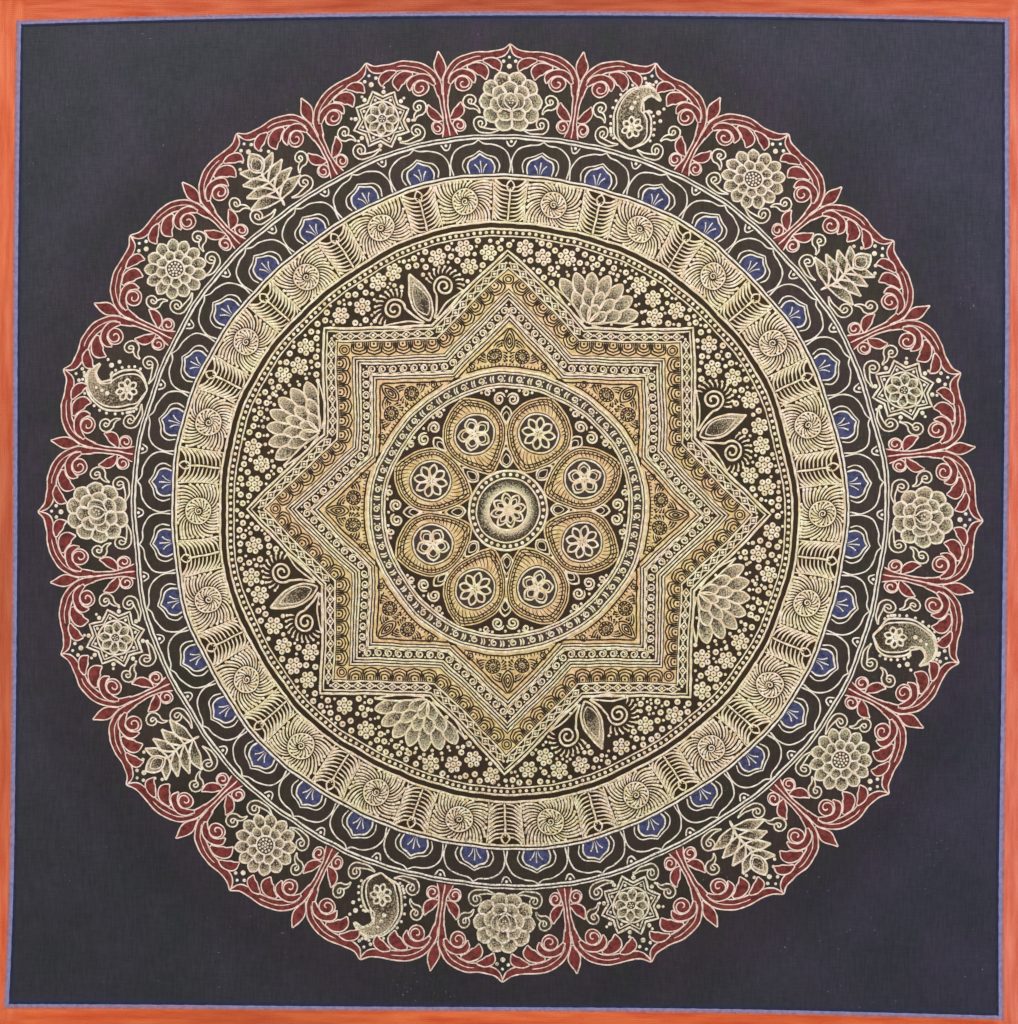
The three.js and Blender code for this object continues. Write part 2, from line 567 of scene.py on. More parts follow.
def drawVineRing():
    inner, outer, pairs = vineRing["inner"], vineRing["outer"], vineRing["pairs"]
    middle, height = (inner + outer) / 2, outer - inner
    pitch = 2 * pi * middle / pairs
    whorlHalf = pitch * vineRing["whorlShare"] / 2
    fernHalf = pitch / 2 - whorlHalf
    insideCell = lambda z: (np.abs(z.real) < whorlHalf - 0.4) & (z.imag > 0.45) & (z.imag < height - 0.45)
    for k in range(pairs):
        put = onRing(inner, middle, 2 * pi * k / pairs)
        sense = 1 if k % 2 else -1
        whorl(vineGold, put, 0.5j * height, vineRing["radius"], 15, sense)
        feathers(vineGold, put, 0.5j * height, vineRing["radius"], insideCell, 33, sense, vineRing["feather"])
        put = onRing(inner, middle, 2 * pi * (k + 0.5) / pairs)
        drawFern(vineGold, put, fernHalf, height)
        side = curve([fernHalf + 0.2j, fernHalf - 0.3 + 0.5j * height, fernHalf + 1j * (height - 0.2)])
        bothHands(vineGold, put, side, 0.36)
    ringLines(vineGold, [(inner - 0.1, 0.6), (outer, 0.55)])


# An eight-pointed star of two crossed squares, with bands that follow its edge
star = {
    "apothem": 50.0,
    "lines": [  # apothem and width
        (50.0, 0.62), (49.1, 0.4), (46.6, 0.45), (41.9, 0.45),
        (41.1, 0.4), (40.3, 0.5), (37.2, 0.5), (36.4, 0.4),
    ],
    "beadBand": 47.85,
    "lappetBand": (46.1, 42.4),
    "scrollBand": 38.75,
    "perEdge": 18,
}
starGold, ink, goldGround = "gold_star", "ink_engraving", "gold_grounds"
notchShare = tan(pi / 8)  # where the two squares cross, as a share of the apothem


def starPath(apothem):
    tips = apothem * sqrt(2) * turns(8)
    notches = apothem / cos(pi / 8) * turns(8, 0.5)
    return alongSides(np.stack([tips, notches], axis=1).ravel(), star["perEdge"])


def onStarEdge(apothem, side, hand):  # x from the crossing out to the tip, y outwards
    out = np.exp(1j * pi * side / 4)
    start = apothem * notchShare
    return lambda z: out * (apothem + np.imag(z) + 1j * hand * (start + np.real(z)))


def edgeLength(apothem):
    return apothem * (1 - notchShare)


def drawBeads(put, length):
    count = round(length / 3.1)
    pitch = (length - 0.9) / count
    for k in range(count):
        middle = 0.2 + pitch * (k + 0.5)
        diamond = middle + np.array([-1.25, -0.95j, 1.25, 0.95j])
        loop(starGold, put(alongSides(diamond, 3)), 0.36)
        dots(starGold, put([middle, middle + pitch / 2]), [0.42, 0.36])


def drawLappets(put, length, height):
    start = height * notchShare * 0.7  # the band's corner at the crossing is mitred
    count = round((length - start) / 4.0)
    pitch = (length - start) / count
    for k in range(count):
        middle = start + pitch * (k + 0.5)
        for share in (0.97, 0.72, 0.46):
            half = pitch * 0.5 * share
            shoulder = half * 0.95 + (1 - share * 0.72) * height * 1j
            arch = curve([half + height * 1j, shoulder, (1 - share * 0.94) * height * 1j], step=0.3)
            stroke(ink, put(middle + withMirror(arch)), 0.41, 1)
        dots(ink, put(middle + height * 0.86j), 0.34, 1)
    corner = length + height / 2 + height / 2 * 1j
    for reach in (1.35, 0.7):
        loop(ink, put(corner + circle(reach, count=14)), 0.36, 1)


def drawRunningScroll(put, length):
    count = round(length / 2.75)
    pitch = length / count
    for k in range(count):
        middle = pitch * (k + 0.45)
        stroke(starGold, put(spiral(middle, 1.08, 0.3, -0.4 * pi, 1.4, 0.4)), 0.42)
        stroke(starGold, put(curve([middle - 1.9 - 1j, middle - 0.6 - 1.15j, middle + 0.3 - 1j])), 0.36)
        dots(starGold, put(middle + pitch / 2 + 0.75j), 0.27)


def drawStarBands():
    for apothem, width in star["lines"]:
        loop(starGold, starPath(apothem), width)
    outer, inner = star["lappetBand"]
    ribbon(goldGround, starPath(outer), starPath(inner), closed=True)
    for side in range(8):
        for hand in (1, -1):
            drawBeads(onStarEdge(star["beadBand"], side, hand), edgeLength(star["beadBand"]))
            drawLappets(onStarEdge(inner, side, hand), edgeLength(inner), outer - inner)
            drawRunningScroll(onStarEdge(star["scrollBand"], side, hand), edgeLength(star["scrollBand"]))


# The eight points of the star: gold, with whorls engraved in it
def drawStarPoints():
    apothem = star["lines"][-1][0] - 0.55
    tip = apothem * sqrt(2)
    notch = apothem / cos(pi / 8) * np.exp(1j * (pi / 2 - pi / 8))
    edge = np.linspace(tip * 1j - 0.05j, notch, 22)
    inset = edge - 0.9j - 0.35
    inset = inset[inset.real > 0.05]
    rim = heart["radius"] + 1.05
    bud = outlineOf(*petalRails(42.6j, 48.9j, 3.0, 0.8, 0.9)) - 45.4j

    def wing(z):  # half a point, clear of its edges and its bud
        besideBud = (z.real >= 1.9) | (z.imag <= 42.6)
        clear = (z.real > 0.4) & (z.real + z.imag < tip - 2.0) & (np.abs(z) > heart["radius"] + 2.2)
        return clear & besideBud

    for k in range(8):
        put = onSpot(0, pi * k / 4)
        ribbon(goldGround, put(mirrored(edge)), put(edge))
        bothHands(ink, put, inset, 0.44, 1)
        stroke(ink, put(rim * 1j * np.exp(1j * np.linspace(-0.3, 0.3, 24))), 0.44, 1)
        for lean in np.linspace(-0.29, 0.29, 24):
            stroke(ink, put(1j * np.exp(1j * lean) * (rim + np.array([0.15, 0.5, 0.85]))), 0.36, 1)
        for share in (1.0, 0.62, 0.28):
            loop(ink, put(45.4j + bud * share), 0.42, 1)
        for hand in hands(put):
            whorl(ink, hand, 3.8 + 41.4j, 1.9, 11, 1, 0.34, 1)
            feathers(ink, hand, 3.8 + 41.4j, 1.9, wing, 24, 1, 0.5, 1, 7.0)
            stroke(ink, hand(spiral(9.7 + 38.8j, 1.15, 0.2, 0.8 * pi, -1.7, 0.4)), 0.38, 1)
            feathers(ink, hand, 9.7 + 38.8j, 1.1, wing, 15, -1, 0.46, 1, 4.6)


# The heart of the drawing: a lotus of eight petals in a patterned ring
heart = {
    "radius": 37.6,
    "ring": (33.9, 36.7),
    "ringUnits": 42,
    "petals": 8,
    "petalMiddle": 22.3j,
    "petalTip": 32.7j,
    "petalWidth": 17.6,
    "roundel": 5.4,
    "hub": 10.6,
}
heartGold = "gold_heart"


def drawHeartRing():
    low, high = heart["ring"]
    rims = [circle(radius, count=200) for radius in (heart["radius"] + 0.25, low - 0.9)]
    ribbon(blackGround, *rims, 2, closed=True)
    lines = [(heart["radius"], 0.6), (high + 0.1, 0.42), (low, 0.42), (low - 0.75, 0.5)]
    ringLines(heartGold, lines, 3)
    for k in range(heart["ringUnits"]):
        put = onRing(low, (low + high) / 2, 2 * pi * k / heart["ringUnits"])
        for x in (-1.75, -1.05):
            stroke(heartGold, put(curve([x + 0.5j, x - 0.25 + 1.4j, x + 2.3j], step=0.5)), 0.45, 3)
        stroke(heartGold, put(spiral(0.7 + 1.4j, 0.95, 0.25, -pi / 2, 1.3, 0.4)), 0.42, 3)
        dots(heartGold, put([1.95 + 0.75j, 1.95 + 2.1j]), 0.27, 3)


def drawHeartPetal(put, angle, flower):
    middle, roundel = heart["petalMiddle"], heart["roundel"]
    left, right = petalRails(heart["hub"] * 1j, heart["petalTip"], heart["petalWidth"], 1.15, 0.62)
    ribbon(goldGround, put(left), put(right), 1)
    around = outlineOf(left, right) - middle
    for share, lineWidth in ((0.94, 0.34), (0.87, 0.3), (0.79, 0.34)):
        loop(ink, put(middle + around * share), lineWidth, 2)
    dots(ink, put((middle + around * 0.83)[::2]), 0.2, 2)
    insidePetal = lambda z: np.interp(z.imag, left.imag, -left.real) * 0.77 - np.abs(z.real) > 0.25
    feathers(ink, put, middle, roundel + 0.25, insidePetal, 40, 1, 0.32, 2, 11.0)
    place = onSpot(put(middle), angle)
    disc(blackGround, place, roundel + 0.4, 3)
    loop(heartGold, place(circle(roundel - 0.1, count=44)), 0.42, 4)
    if flower:
        rosette(heartGold, place, 8, 0.9, 4.4, 2.0, 4)
        dots(heartGold, place(np.append(circle(0.6, count=5), 0)), 0.3, 4)
    else:
        rosette(heartGold, place, 5, 0.7, 4.4, 3.1, 4, 0.26)
        dots(heartGold, place(0), 0.62, 4)


def drawHeartLotus():
    for k in range(heart["petals"]):
        angle = pi * (k + 0.5) / 4
        drawHeartPetal(onSpot(0, angle), angle, k % 2)
        put = onSpot(0, angle + pi / 8)
        for centre, radius, turning in ((2.0 + 29.9j, 1.75, 1.8), (5.3 + 31.5j, 1.0, 1.3)):
            bothHands(heartGold, put, spiral(centre, radius, 0.3, 0.9 * pi, -turning), 0.52, 1)
        petal(put, 23.2j, 28.0j, 2.9, heartGold, 0.45, 1.3, 0.8, 1, None, 0.3)
        dots(heartGold, put([32j, 3.6 + 32.2j, -3.6 + 32.2j, 7 + 31.6j, -7 + 31.6j]), 0.4, 1)
        petal(put, 11.6j, 16.8j, 3.3, heartGold, 0.45, 0.8, 0.8, 1, None, 0.3)
        dots(heartGold, put([18.2j, 19.7j]), [0.5, 0.36], 1)


def drawHub():
    hub = heart["hub"]
    disc(blackGround, onSpot(0, pi / 2), hub + 0.3, 3)
    ringLines(heartGold, [(hub, 0.6)], 4)
    dots(heartGold, circle(hub - 1.0, count=34), 0.5, 4)
    ringLines(heartGold, [(hub - 2.0, 0.42)], 4)
    thinning = np.array([[0.05], [0.4], [1.0]]) * np.ones(60)  # the halo thins outwards
    ribbon(stippledGold, circle(8.4, count=60), circle(5.3, count=60), 4, coat["fill"], True, thinning)
    ringLines(heartGold, [(5.3, 0.5)], 4)
    rosette(heartGold, onSpot(0, pi / 2), 8, 0.8, 4.7, 2.2, 4, 0.3)
    dots(heartGold, 0, 0.75, 4)


# The field between the star and the rings: lotuses and leaf scrolls in the crossings, pearl flowers between
field = {"rim": 76.4, "flower": 2.45, "tries": 14000, "lotusFoot": 55.2, "scrollFoot": 55.0}
fieldGold = "gold_field"


def fan(degrees):
    return 1j * np.exp(1j * np.radians(degrees))


def drawHalfLotus(put):
    for leans, foot, tip, width, layer in (
        (np.arange(-54, 55, 18), 5.0, 14.2, 3.5, 0),
        (np.arange(-48, 49, 24), 2.6, 9.6, 3.1, 3),
        (np.arange(-36, 37, 36), 0.4, 5.8, 2.8, 6),
    ):
        petals(put, fan(leans), foot, tip, width, fieldGold, 0.45, 1.45, 0.6, layer, stippledGold)
    for hand in hands(put):
        leaf(hand, [1.2 + 0.2j, 6.4 + 2.4j, 12.6 + 5.6j], [0.3, 1.7, 0.2], None, fieldGold, 0.42)
    for lean in np.arange(-54, 55, 9):
        reach = np.array([15.3, 16.5] if lean % 18 == 0 else [14.2, 15.2])
        dots(fieldGold, put(reach * fan(lean)), [0.5, 0.34])


def drawLeafScroll(put):
    petal(put, 0.6j, 14.4j, 5.2, fieldGold, 0.5, 0.8, 0.9, 0, stippledGold, 0.2)
    centre = 7.4 + 7.4j
    coil = [curve([1.4 + 0.6j, 3.4 + 3.6j, 4.4 + 6j]), spiral(centre, 3.0, 0.5, 1.1 * pi, -1.9)]
    tail = np.array([3.5, 4.3, 5.3]) * np.exp(1j * np.array([0, -0.05, -0.16]))
    for hand in hands(put):
        stroke(fieldGold, hand(np.concatenate(coil)), 0.55)
        for m in range(11):
            comma(fieldGold, hand, centre + np.exp(1j * (2.5 - 0.3 * m)) * tail, 0.66)
        leaf(hand, [1.9 + 0.5j, 6.2 + 2.2j, 11.4 + 4.2j], [0.4, 1.8, 0.2], None, fieldGold, 0.42)


def starClearance(point):  # how far a point stands outside the star
    squares = [max(abs(p.real), abs(p.imag)) for p in (point, point * np.exp(1j * pi / 4))]
    return min(squares) - star["apothem"]


def strew(taken, size, margin):  # places for things of one size that touch nothing
    places = []
    for _ in range(field["tries"]):
        point = rng.uniform(52, field["rim"] - 2.1 - size) * np.exp(2j * pi * rng.random())
        if starClearance(point) < size + 0.45:
            continue
        centres, reaches = np.array(taken).T
        if np.any(np.abs(centres - point) < reaches.real + size + margin):
            continue
        taken.append((point, size))
        places.append(point)
    return places


def drawField():
    taken = []
    for k in range(8):
        angle = pi * (k + 0.5) / 4
        put = onSpot(field["lotusFoot" if k % 2 else "scrollFoot"] * np.exp(1j * angle), angle)
        if k % 2:
            drawHalfLotus(put)
            covers = [(7.5j, 7.0), (8 + 8j, 4.6), (-8 + 8j, 4.6), (4 + 11j, 3.6), (-4 + 11j, 3.6)]
        else:
            drawLeafScroll(put)
            covers = [(4.5j, 4.4), (9j, 3.2), (12.8j, 2.4), (7.4 + 7.4j, 5.3), (-7.4 + 7.4j, 5.3)]
        taken.extend((put(centre), reach) for centre, reach in covers)
    size = field["flower"]
    for point in strew(taken, size, 0.02):
        pearlFlower(fieldGold, ink, point, size * rng.uniform(0.96, 1.03), rng.uniform(0, pi))
    for size in (0.85, 0.6, 0.4):
        places = strew(taken, size, 0.2)
        dots(fieldGold, places, size)
        if size > 0.7:
            dots(ink, np.array(places) + 0.1, 0.25, 2)
    rim = field["rim"]
    ringLines(fieldGold, [(rim, 0.55), (rim - 1.9, 0.38)])
    dots(fieldGold, circle(rim - 0.95, count=round(2 * pi * rim / 1.7)), 0.48)


drawRuledLine()
drawArcade()
drawBays()
drawPetalRing()
drawVineRing()
drawStarBands()
drawStarPoints()
drawHeartRing()
drawHeartLotus()
drawHub()
drawField()
print("drawing:", sum(len(pot["ribbons"]) for pot in paintPots.values()), "strokes and fills")


# Materials
def linear(hexColour):
    parts = [int(hexColour[k : k + 2], 16) / 255 for k in (1, 3, 5)]
    return tuple(c / 12.92 if c <= 0.04045 else ((c + 0.055) / 1.055) ** 2.4 for c in parts) + (1.0,)


def addNode(tree, kind, inputs=None, out=0, stops=(), **settings):
    node = tree.nodes.new("ShaderNode" + kind)
    for name, value in settings.items():
        setattr(node, name, value)
    for k, (place, colour) in enumerate(stops):
        ramp = node.color_ramp.elements
        element = ramp[k] if k < 2 else ramp.new(place)  # a new ramp has two stops
        element.position = place
        element.color = linear(colour)
    for name, value in (inputs or {}).items():
        if isinstance(value, bpy.types.NodeSocket):
            tree.links.new(value, node.inputs[name])
        else:
            node.inputs[name].default_value = value
    return node.outputs[out]


mixColours = {"out": 2, "data_type": "RGBA"}  # such a Mix has its share and two colours at sockets 0, 6 and 7
softly = {**mixColours, "blend_type": "SOFT_LIGHT"}  # #bcbcbc leaves a colour as it is
multiplied = {**mixColours, "blend_type": "MULTIPLY"}


def grainScale(size):  # a noise whose grains are so many millimetres across
    return 1 / (size * mm)


def threadScale(spacing):  # a wave whose bands are so many millimetres apart
    return 2 * pi / (20 * spacing * mm)


def startFinish(name, **sockets):
    finish = bpy.data.materials.new(name)
    finish.use_nodes = True
    shader = finish.node_tree.nodes["Principled BSDF"]
    for socket, value in sockets.items():
        shader.inputs[socket.replace("_", " ")].default_value = value
    add = partial(addNode, finish.node_tree)
    return finish, add, shader, add("TexCoord", out="Object")


def feed(shader, socket, output):
    shader.id_data.links.new(output, shader.inputs[socket])


def wash(add, share, under, grain, stops, **blend):  # tints that come and go with a grain, laid over a colour
    tint = add("ValToRGB", {"Fac": grain}, stops=stops)
    return add("Mix", {0: share, 6: under, 7: tint}, **blend)


thread = 0.56  # mm between the canvas's threads
middleHeight = -0.1505  # m, of the middle of the hung sheet


def raiseWeave(add, shader, coords, spacing, strength, depth):  # warp and weft, uneven as by hand
    uneven = {"Distortion": 1.2, "Detail": 0.0, "Detail Scale": 0.6}
    wave = {"Vector": coords, "Scale": threadScale(spacing), **uneven}
    warp, weft = (add("TexWave", wave, 1, bands_direction=way) for way in "XZ")
    both = add("Math", {0: warp, 1: weft}, operation="ADD")
    bump = add("Bump", {"Height": both, "Strength": strength, "Distance": depth * mm})
    feed(shader, "Normal", bump)


def farthest(add, coords):  # how far a place is from the middle of the sheet, the longer way
    place = add("VectorMath", {0: coords, 1: (0, 0, -middleHeight)}, operation="ADD")
    size = add("VectorMath", {0: place}, operation="ABSOLUTE")
    sideways, lengthways = (add("SeparateXYZ", {"Vector": size}, axis) for axis in "XZ")
    return add("Math", {0: sideways, 1: lengthways}, operation="MAXIMUM")


def longGrain(add, coords, x, z):  # noise that is longer one way, for slubs and brush streaks, in mm
    scale = (grainScale(x), grainScale(6), grainScale(z))
    place = add("Mapping", {"Vector": coords, "Scale": scale})
    return add("TexNoise", {"Vector": place, "Scale": 1.0, "Detail": 3.0, "Roughness": 0.6})


def blackDistemper():  # soot and glue on cotton: dull, close to black, with the weave and its slubs in it
    finish, add, shader, coords = startFinish("black distemper", Roughness=0.82, Specular_IOR_Level=0.2)
    side, height = (add("SeparateXYZ", {"Vector": coords}, axis) for axis in "XZ")
    # painted sheen: the black ground is made lighter towards the top, where the lamp's sheen falls
    paintedLight = add("MapRange", {"Value": height, "From Min": -0.29, "From Max": -0.02})
    ground = add("Mix", {0: paintedLight, 6: linear("#302f35"), 7: linear("#3f3e45")}, **mixColours)
    reach = add("VectorMath", {0: coords, 1: (0.0005, -0.003, middleHeight)}, 1, operation="DISTANCE")
    reach = add("Math", {0: reach, 1: halfSide * mm}, operation="DIVIDE")
    fading = {"From Min": 0.86, "From Max": 0.95, "To Min": 0.7, "To Max": 0.12}
    bloom = add("MapRange", {"Value": reach, **fading})
    mottles = [(20, 0.8, (0.36, "#adb7b5"), "#cbc3cf"), (6, bloom, (0.34, "#b6c2b2"), "#c2b6c8")]
    for size, share, low, high in mottles:  # faintly green and violet in places
        patch = add("TexNoise", {"Vector": coords, "Scale": grainScale(size), "Detail": 2.0})
        ground = wash(add, share, ground, patch, [low, (0.66, high)], **softly)
    zones = [  # share of the way from the middle to the edge
        (0.51, "#bd9860"), (0.525, "#bb8c44"), (0.603, "#bb8c44"), (0.612, "#c6ad84"),
        (0.81, "#c6ad84"), (0.835, "#b6aca6"), (0.885, "#b4aaaa"), (0.96, "#bcbcbc"),
    ]
    ground = wash(add, 1.0, ground, reach, zones, **softly)  # gold dust and glue stain it inwards
    bluer = add("MapRange", {"Value": side, "From Min": 0.05, "From Max": 0.13})
    ground = add("Mix", {0: bluer, 6: ground, 7: linear("#bcbccd")}, **softly)
    for across, down, share in ((0.55, 3.6, 0.55), (3.0, 0.55, 0.35)):
        slubs = longGrain(add, coords, across, down)
        ground = wash(add, share, ground, slubs, [(0.3, "#9c9c9c"), (0.72, "#dadada")], **softly)
    edge = add("MapRange", {"Value": farthest(add, coords), "From Min": 0.1322, "From Max": 0.1346})
    ground = add("Mix", {0: edge, 6: ground, 7: linear("#30364c")}, **mixColours)  # blue bleeds in
    speck = add("TexNoise", {"Vector": coords, "Scale": grainScale(0.7), "Detail": 1.0})
    drift = add("TexNoise", {"Vector": coords, "Scale": grainScale(17), "Detail": 1.0})
    speck = add("Math", {0: drift, 1: 0.35, 2: speck}, operation="MULTIPLY_ADD")  # lint lies in drifts
    lint = add("MapRange", {"Value": speck, "From Min": 0.95, "From Max": 1.05, "To Max": 0.55})
    ground = add("Mix", {0: lint, 6: ground, 7: linear("#8c8b92")}, **mixColours)
    feed(shader, "Base Color", ground)
    raiseWeave(add, shader, coords, thread, 0.4, 0.06)
    return finish


def orangeTempera():  # body colour brushed thin along each edge: streaks and threads show
    finish, add, shader, coords = startFinish("orange tempera", Roughness=0.75, Specular_IOR_Level=0.3)
    x, z = (add("SeparateXYZ", {"Vector": coords}, axis) for axis in "XZ")
    toRight = add("MapRange", {"Value": x, "From Min": -0.14, "From Max": 0.14})
    upward = add("MapRange", {"Value": z, "From Min": -0.29, "From Max": -0.01})
    upright = add("Mix", {0: toRight, 6: linear("#e0714b"), 7: linear("#de745d")}, **mixColours)
    level = add("Mix", {0: upward, 6: linear("#d96234"), 7: linear("#d56743")}, **mixColours)
    patch = add("TexNoise", {"Vector": coords, "Scale": grainScale(14), "Detail": 3.0})
    sideways = add("Math", {0: x}, operation="ABSOLUTE")
    lengthways = add("Math", {0: add("Math", {0: z, 1: halfSide * mm})}, operation="ABSOLUTE")
    overlap = add("Math", {0: sideways, 1: lengthways}, operation="SUBTRACT")
    overlap = add("Math", {0: patch, 1: 0.02, 2: overlap}, operation="MULTIPLY_ADD")
    onSide = add("MapRange", {"Value": overlap, "From Min": 0.007, "From Max": 0.013})
    body = add("Mix", {0: onSide, 6: level, 7: upright}, **mixColours)
    body = wash(add, 0.7, body, patch, [(0.3, "#b0a8a4"), (0.7, "#ccc8c0")], **softly)
    streak = add("Mix", {0: onSide, 2: longGrain(add, coords, 18, 1.8), 3: longGrain(add, coords, 1.8, 18)})
    body = wash(add, 1.0, body, streak, [(0.3, "#948c7c"), (0.7, "#e0dae0")], **softly)
    darkerPlaces = [  # where the margin is darker: middle, reach and share
        ((0, 0, 0), 0.11, 1.0),
        ((-0.15, 0, -0.175), 0.1, 1.0),
        ((-0.067, 0, -0.3), 0.045, 0.6),
    ]
    for place, reach, share in darkerPlaces:
        away = add("VectorMath", {0: coords, 1: place}, 1, operation="DISTANCE")
        darkening = add("MapRange", {"Value": away, "From Min": reach, "From Max": 0.01, "To Max": share})
        body = add("Mix", {0: darkening, 6: body, 7: linear("#d4d2d2")}, **multiplied)
    feed(shader, "Base Color", body)
    raiseWeave(add, shader, coords, thread, 0.5, 0.08)
    return finish


def rawCotton():  # the back and the cut edge: cream sized cotton, greyer where the black shows through
    finish, add, shader, coords = startFinish("raw sized cotton", Roughness=0.9, Specular_IOR_Level=0.3)
    stain = add("TexNoise", {"Vector": coords, "Scale": grainScale(45), "Detail": 4.0})
    cloth = add("ValToRGB", {"Fac": stain}, stops=[(0.35, "#dacfb6"), (0.65, "#e3dac4")])
    shown = add("MapRange", {"Value": farthest(add, coords), "From Min": 0.137, "From Max": 0.133})
    cloth = add("Mix", {0: shown, 6: cloth, 7: linear("#b0b0ae")}, **softly)
    for across, down in ((0.9, 7), (7, 0.9)):
        slubs = longGrain(add, coords, across, down)
        cloth = wash(add, 0.6, cloth, slubs, [(0.3, "#a6a298"), (0.72, "#d2cec8")], **softly)
    feed(shader, "Base Color", cloth)
    raiseWeave(add, shader, coords, 1.5, 0.8, 0.16)  # threads drawn coarser than they are, to show
    return finish


def stippledShellGold():  # gold put on in fine dots: the ground shows where they stand apart
    finish, add, shader, coords = startFinish(
        "stippled shell gold", Roughness=0.6, Metallic=0.1, Specular_IOR_Level=0.3)
    crowd = add("Attribute", None, "Fac", attribute_name="gilding")
    grain = add("TexNoise", {"Vector": coords, "Scale": grainScale(0.34), "Detail": 0.0})  # coarser, to show
    even = {"From Min": 0.2, "From Max": 0.8, "To Min": 0.2, "To Max": 0.8}
    over = add("Math", {0: crowd, 1: add("MapRange", {"Value": grain, **even})}, operation="SUBTRACT")
    cover = add("MapRange", {"Value": over, "From Min": -0.3, "From Max": 0.3})
    patch = add("TexNoise", {"Vector": coords, "Scale": grainScale(26), "Detail": 2.0})
    gold = add("ValToRGB", {"Fac": patch}, stops=[(0.38, "#e2ccaa"), (0.62, "#d8cea8")])
    feed(shader, "Base Color", add("Mix", {0: cover, 6: linear("#3a2c1e"), 7: gold}, **mixColours))
    return finish


def linePaint(name, low, high, drift=None, driftSize=30, roughness=0.7, metallic=0.0, wearAndShade=0.0):
    # a coat of paint: uneven by the brush, drifting slowly in colour, worn thin in specks, and with painted
    # shade towards the bottom
    finish, add, shader, coords = startFinish(
        name, Roughness=roughness, Metallic=metallic, Specular_IOR_Level=0.35)
    brush = add("TexNoise", {"Vector": coords, "Scale": grainScale(1.1), "Detail": 2.0, "Roughness": 0.65})
    colour = add("ValToRGB", {"Fac": brush}, stops=[(0.32, low), (0.64, high)])
    if drift:
        patch = add("TexNoise", {"Vector": coords, "Scale": grainScale(driftSize), "Detail": 3.0})
        colour = wash(add, 1.0, colour, patch, [(0.4, drift[0]), (0.6, drift[1])], **multiplied)
    if wearAndShade:
        thinAndShade = add("TexNoise", {"Vector": coords, "Scale": grainScale(0.55), "Detail": 2.0})
        # painted shade: towards the bottom middle more specks turn dark, for a shadow that fell there
        fromFoot = add("VectorMath", {0: coords, 1: (0, 0, -0.27)}, 1, operation="DISTANCE")
        paintedLight = add("MapRange", {"Value": fromFoot, "From Min": 0.11, "From Max": 0.02, "To Max": 0.12})
        thinAndShade = add("Math", {0: thinAndShade, 1: paintedLight}, operation="ADD")  # more dark specks towards the bottom middle: painted shade
        wornAndShaded = add("MapRange", {"Value": thinAndShade, "From Min": 0.6, "From Max": 0.74, "To Max": wearAndShade})
        colour = add("Mix", {0: wornAndShaded, 6: colour, 7: linear("#4a3a24")}, **mixColours)
    feed(shader, "Base Color", colour)
    feed(shader, "Normal", add("Bump", {"Height": brush, "Strength": 0.4, "Distance": 0.05 * mm}))
    return finish


paints = {  # low and high colour, the tints it drifts between, their size in mm, roughness, metallic, wear and painted shade
    # powdered gold in glue: a soft warm sheen, deeper where it is rubbed, paler with chalk, rosy over red
    "shell gold": ("#e0cba2", "#fffdf6", ("#fff0e4", "#fcf8dc"), 10, 0.5, 0.1, 0.7),
    "burnished shell gold": ("#d2ae76", "#fae9c8", ("#ffeddc", "#fcf6d4"), 12, 0.45, 0.1, 0.5),
    "shell gold with white": ("#e2d0b2", "#fffdf8", ("#fff3eb", "#fbf9e8"), 14, 0.5, 0.1, 0.7),
    "pale shell gold": ("#eadcc4", "#fffdf8", ("#fdf7f4", "#fbf9f2"), 18, 0.5, 0.05, 0.6),
    "gold over red": ("#e4c4b2", "#fff7f1", ("#fff3ef", "#fff5ee"), 24, 0.5, 0.05, 0.5),
    # ground colours in glue: flat and dull, with the brush in them
    "crimson lake": ("#4c1814", "#863c38", ("#fff0dc", "#ffdfe6"), 11),
    "ultramarine": ("#232746", "#4b4f7b", ("#ffffff", "#f6f0ee"), 9),
    "soot ink": ("#22160b", "#382815"),
    "black distemper touch-up": ("#382c22", "#44372a"),
    "thin blue over orange": ("#98666f", "#b27a82", ("#ffffff", "#f4fbff"), 25),
    "chalky blue": ("#7d7a9e", "#9592ba", ("#fff4fa", "#f4f8ff"), 40),
    "dark blue": ("#101734", "#1d254a"),
}
sheetFinishes = [blackDistemper(), orangeTempera(), rawCotton()]
paintFinishes = {name: linePaint(name, *recipe) for name, recipe in paints.items()}
paintFinishes["stippled shell gold"] = stippledShellGold()
print("materials: done")


def newObject(data, *finishes):
    for finish in finishes:
        data.materials.append(finish)
    made = bpy.data.objects.new(data.name, data)
    bpy.context.collection.objects.link(made)
    return made


# The canvas itself: a fine grid laid on the hanging surface, with its thickness behind the paint
def makeCanvas():
    bm = bmesh.new()
    bmesh.ops.create_grid(bm, x_segments=canvas["cells"], y_segments=canvas["cells"], size=halfSide)
    for face in bm.faces:
        middle = face.calc_center_median()
        face.material_index = 0 if max(abs(middle.x), abs(middle.y)) < halfGround else 1
        face.smooth = True
    flat = np.array([complex(v.co.x, v.co.y) for v in bm.verts])
    for vert, place in zip(bm.verts, hang(ruledSquare(flat), 0.0)):
        vert.co = place
    mesh = bpy.data.meshes.new("canvas_sheet")
    bm.to_mesh(mesh)
    bm.free()
    sheet = newObject(mesh, *sheetFinishes)
    solidify = sheet.modifiers.new("thickness", "SOLIDIFY")
    solidify.thickness = canvas["thickness"] * mm
    solidify.offset = -1
    solidify.material_offset = len(sheetFinishes) - 1
    solidify.material_offset_rim = len(sheetFinishes) - 1
    return sheet


sheet = makeCanvas()
print("canvas:", len(sheet.data.polygons), "faces")

# No hand draws the same line twice: the whole drawing drifts a little over the sheet
handDrift = [  # wavelength, its heading, size of the push, heading of the push, phase
    (71, 0.4, 0.5, 1.9, 0.3),
    (43, 2.1, 0.34, 0.2, 1.7),
    (19, 1.1, 0.13, 2.8, 4.1),
    (12, 2.9, 0.1, 0.9, 2.2),
    (5.3, 0.2, 0.05, 1.5, 0.9),
    (4.1, 1.7, 0.05, 0.1, 5.0),
]
drawingCentre = 0.4 - 0.4j


